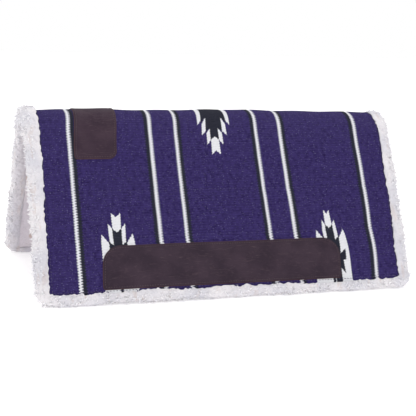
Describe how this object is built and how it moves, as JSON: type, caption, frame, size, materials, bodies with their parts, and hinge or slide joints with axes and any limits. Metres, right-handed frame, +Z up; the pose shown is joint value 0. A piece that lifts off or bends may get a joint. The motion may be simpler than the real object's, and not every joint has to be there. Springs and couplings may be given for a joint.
{
  "type": "western saddle pad",
  "caption": "Woven-top western saddle pad with fleece underside turned over the edge, felt core, wither and wear leathers, folded over its spine and standing on its hems.",
  "frame": {"origin": "on the ground, under the middle of the spine fold", "axes": "+X along the spine towards the rear end, +Y towards the far flap, +Z up"},
  "size_m": [0.806, 0.4486, 0.3568],
  "materials": {
    "woven_acrylic": "coarse ribbed weave, dark purple with woven stripes and feather diamonds in white and charcoal",
    "felt": "dense pressed felt",
    "fleece": "deep curled off-white fleece",
    "leather": "dull dark plum-brown split leather with scuffed grain",
    "leather_thread": "brown bonded thread",
    "pad_thread": "dark purple bonded thread"
  },
  "bodies": {
    "spine": {"woven_top_spine": "woven_acrylic", "felt_core_spine": "felt", "fleece_lining_spine": "fleece", "front_fleece_edge_spine": "fleece", "rear_fleece_edge_spine": "fleece", "wither_leather_spine": "leather", "edge_stitching_spine": "pad_thread", "wither_leather_stitching_spine": "leather_thread"},
    "near_flap": {"woven_top_near": "woven_acrylic", "felt_core_near": "felt", "fleece_lining_near": "fleece", "front_fleece_edge_near": "fleece", "rear_fleece_edge_near": "fleece", "hem_fleece_edge_near": "fleece", "wither_leather_near": "leather", "wear_leather_near": "leather", "quilt_stitching_near": "pad_thread", "edge_stitching_near": "pad_thread", "wear_leather_stitching_near": "leather_thread", "wither_leather_stitching_near": "leather_thread"},
    "far_flap": {"woven_top_far": "woven_acrylic", "felt_core_far": "felt", "fleece_lining_far": "fleece", "front_fleece_edge_far": "fleece", "rear_fleece_edge_far": "fleece", "hem_fleece_edge_far": "fleece", "wither_leather_far": "leather", "wear_leather_far": "leather", "quilt_stitching_far": "pad_thread", "edge_stitching_far": "pad_thread", "wear_leather_stitching_far": "leather_thread", "wither_leather_stitching_far": "leather_thread"}
  },
  "joints": [
    {"name": "near_fold", "type": "hinge", "parent": "spine", "child": "near_flap", "pos_m": [0, -0.03118, 0.33891], "axis": [-1, 0, 0], "range_deg": [-30, 61.7]},
    {"name": "far_fold", "type": "hinge", "parent": "spine", "child": "far_flap", "pos_m": [0, 0.03118, 0.33891], "axis": [1, 0, 0], "range_deg": [-30, 61.7]}
  ]
}
